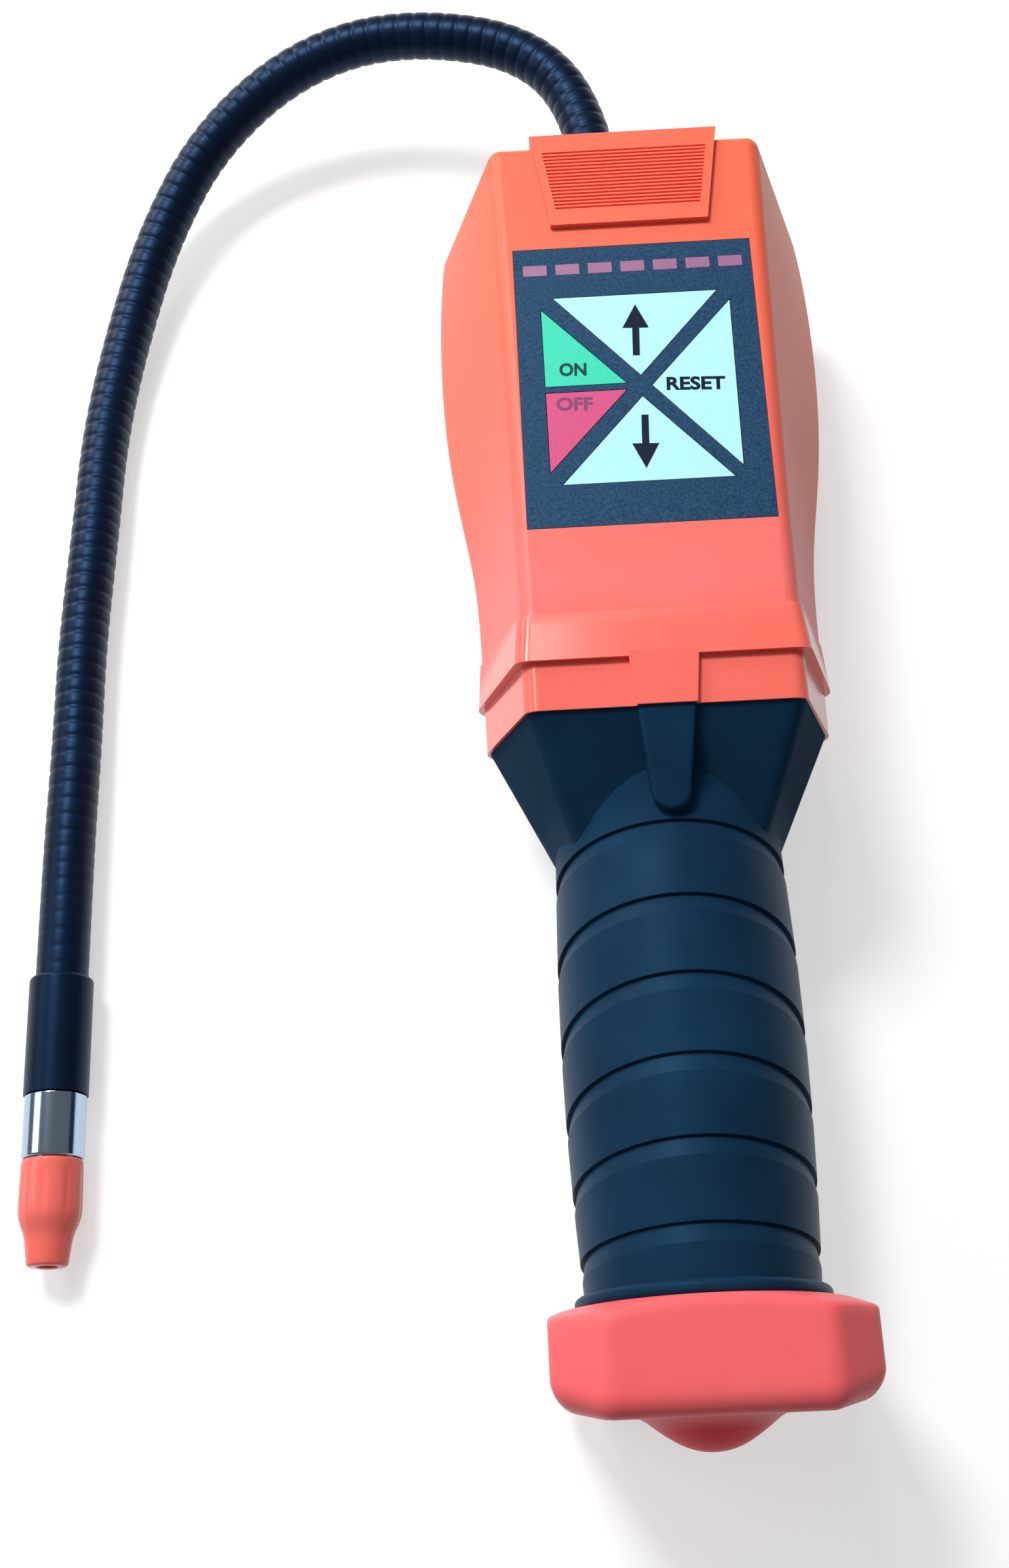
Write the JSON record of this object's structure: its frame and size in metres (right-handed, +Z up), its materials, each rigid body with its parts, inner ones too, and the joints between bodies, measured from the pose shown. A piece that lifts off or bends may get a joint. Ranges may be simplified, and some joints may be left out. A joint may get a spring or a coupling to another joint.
{
  "type": "refrigerant leak detector",
  "caption": "Hand-held refrigerant leak detector with a membrane keypad, a ribbed battery grip with a screw cap and a gooseneck probe that ends in a removable sensor tip.",
  "frame": {"origin": "middle of the body's footprint on the table, below the grip's axis, measured without the probe", "axes": "+Y from the base cap to the head's top end, +Z up out of the keypad, +X to the user's right when the keypad is read; the object lies on its back"},
  "size_m": [0.1521, 0.2897, 0.0563],
  "materials": {
    "orange_abs": "moulded orange ABS, satin to glossy",
    "black_elastomer": "soft black elastomer, matte",
    "orange_elastomer": "soft orange elastomer, satin",
    "printed_polyester": "printed polyester film, fine texture",
    "key_white": "printed polyester film, white",
    "key_green": "printed polyester film, green",
    "key_red": "printed polyester film, red",
    "diffuser_acrylic": "smoked pink acrylic",
    "led_epoxy": "clear red epoxy",
    "circuit_board": "glass fibre laminate, green mask",
    "black_component": "moulded black component",
    "spring_steel": "nickel-plated spring steel",
    "screw_steel": "zinc-plated steel",
    "cell_jacket": "plain jacketed steel can",
    "tube_plastic": "moulded black ABS",
    "cable_sleeve": "ribbed black vinyl sleeve over a steel gooseneck",
    "chrome_plate": "bright plated brass",
    "ceramic": "white ceramic"
  },
  "bodies": {
    "body": {"front_housing": "orange_abs", "rear_housing": "orange_abs", "housing_screws": "screw_steel", "keypad_overlay": "printed_polyester", "led_diffuser": "diffuser_acrylic", "led_row": "led_epoxy", "key_domes": "spring_steel", "main_board": "circuit_board", "beeper": "black_component", "high_voltage_transformer": "black_component", "storage_capacitor": "black_component", "grip_sleeve": "black_elastomer", "battery_tube": "tube_plastic", "battery_lower": "cell_jacket", "battery_upper": "cell_jacket", "battery_contact": "tube_plastic", "probe_gland": "tube_plastic", "gooseneck": "cable_sleeve", "probe_end_sleeve": "cable_sleeve", "probe_collar": "chrome_plate", "probe_socket": "tube_plastic"},
    "up_key": {"key_up": "key_white"},
    "down_key": {"key_down": "key_white"},
    "on_key": {"key_on": "key_green"},
    "off_key": {"key_off": "key_red"},
    "reset_key": {"key_reset": "key_white"},
    "spring_carrier": {"spring_plate": "spring_steel", "battery_spring": "spring_steel"},
    "cap": {"base_cap": "orange_elastomer"},
    "sensor_core": {"sensor_electrode": "spring_steel"},
    "sensor_tip": {"sensor_hood": "orange_abs", "sensor_stem": "chrome_plate", "sensor_insulator": "ceramic"}
  },
  "joints": [
    {"name": "up_press", "type": "slide", "parent": "body", "child": "up_key", "axis": [0, 0.0419, -0.9991], "range_m": [0, 0.00025], "stiffness_N_per_m": 4000},
    {"name": "down_press", "type": "slide", "parent": "body", "child": "down_key", "axis": [0, 0.0419, -0.9991], "range_m": [0, 0.00025], "stiffness_N_per_m": 4000},
    {"name": "on_press", "type": "slide", "parent": "body", "child": "on_key", "axis": [0, 0.0419, -0.9991], "range_m": [0, 0.00025], "stiffness_N_per_m": 4000},
    {"name": "off_press", "type": "slide", "parent": "body", "child": "off_key", "axis": [0, 0.0419, -0.9991], "range_m": [0, 0.00025], "stiffness_N_per_m": 4000},
    {"name": "reset_press", "type": "slide", "parent": "body", "child": "reset_key", "axis": [0, 0.0419, -0.9991], "range_m": [0, 0.00025], "stiffness_N_per_m": 4000},
    {"name": "cap_lift", "type": "slide", "parent": "body", "child": "spring_carrier", "axis": [0, -1, 0], "range_m": [0, 0.06]},
    {"name": "cap_turn", "type": "hinge", "parent": "spring_carrier", "child": "cap", "pos_m": [0, -0.1, 0.0248], "axis": [0, 1, 0], "continuous": true},
    {"name": "tip_pull", "type": "slide", "parent": "body", "child": "sensor_core", "axis": [0, -1, 0], "range_m": [0, 0.03]},
    {"name": "tip_turn", "type": "hinge", "parent": "sensor_core", "child": "sensor_tip", "pos_m": [-0.11, -0.07, 0.0057], "axis": [0, 1, 0], "continuous": true}
  ]
}
